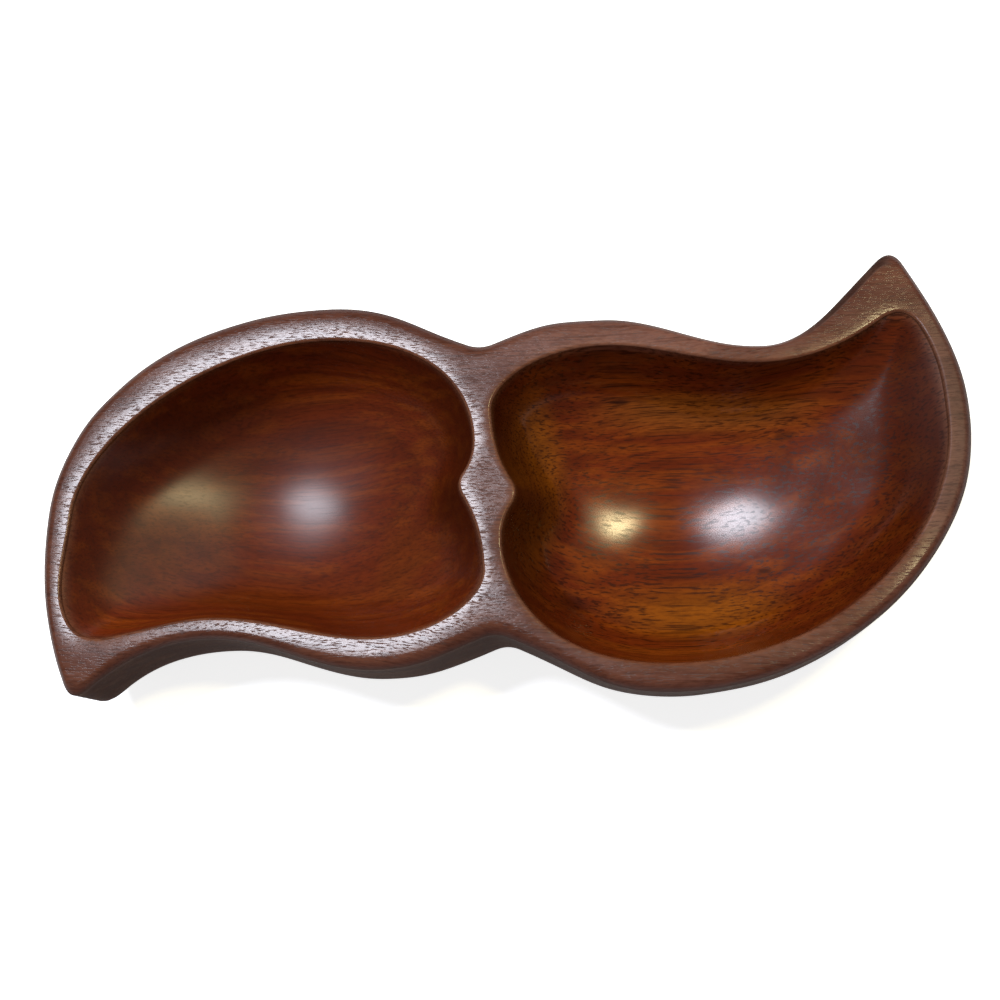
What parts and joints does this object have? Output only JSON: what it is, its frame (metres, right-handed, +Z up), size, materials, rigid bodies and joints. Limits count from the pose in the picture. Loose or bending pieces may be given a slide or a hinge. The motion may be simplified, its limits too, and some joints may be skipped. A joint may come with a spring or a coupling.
{
  "type": "divided serving bowl",
  "caption": "Low serving bowl carved from a single block of dark reddish wood, with leaf-shaped pockets laid head to tail, parted by a slim cusped divider, to serve snacks or hold small things.",
  "frame": {"origin": "on the resting face, under the middle of the divider", "axes": "+X runs along the bowl towards the leaf whose tip points to +Y, +Y across it, +Z up out of the pockets"},
  "size_m": [0.382, 0.1794, 0.05],
  "materials": {
    "mahogany": "carved, sanded and oiled to a satin sheen"
  },
  "bodies": {
    "root": {"carved_bowl": "mahogany"}
  },
  "joints": []
}
